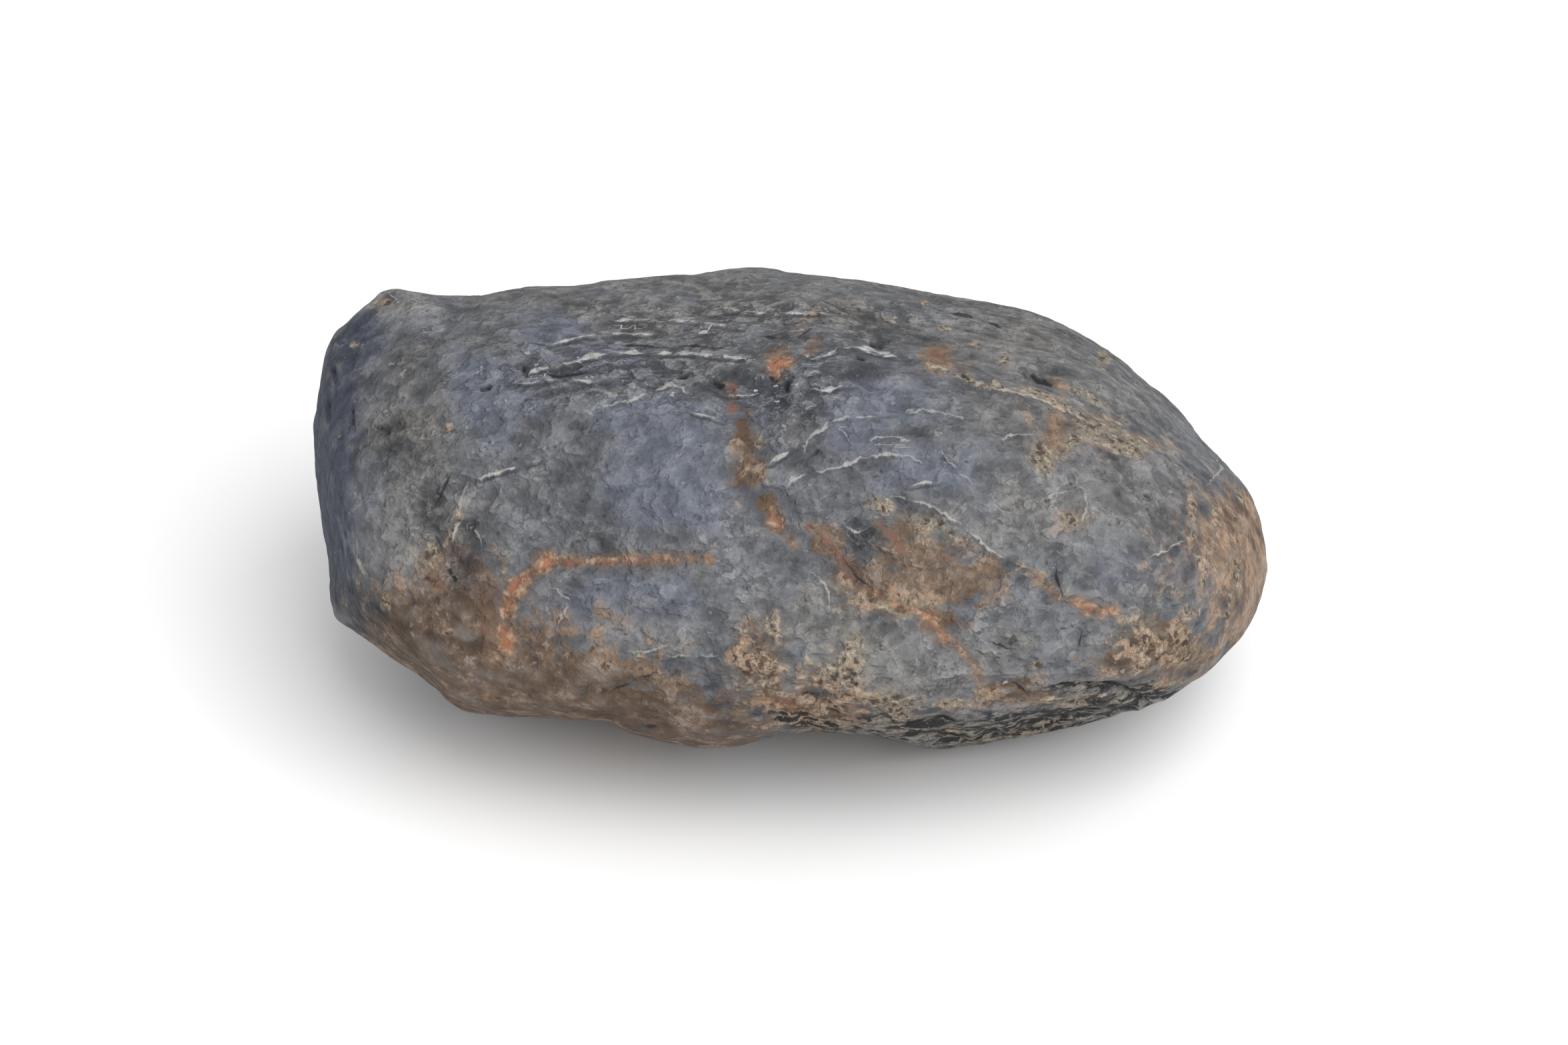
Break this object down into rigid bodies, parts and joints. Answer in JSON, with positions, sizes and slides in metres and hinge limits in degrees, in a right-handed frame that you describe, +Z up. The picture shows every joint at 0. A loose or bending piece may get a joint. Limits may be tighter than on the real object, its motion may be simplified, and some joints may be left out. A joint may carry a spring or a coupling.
{
  "type": "river pebble",
  "caption": "Water-worn dark slate stone, blunt at one end and tapered at the other, that lies flat on its underside.",
  "frame": {"origin": "middle of the stone's box, on the ground it lies on", "axes": "+X along the stone from the blunt end to the tapered end, -Y its front, +Z up"},
  "size_m": [0.1204, 0.08, 0.0508],
  "materials": {
    "slate": "matte"
  },
  "bodies": {
    "root": {"pebble": "slate"}
  },
  "joints": []
}
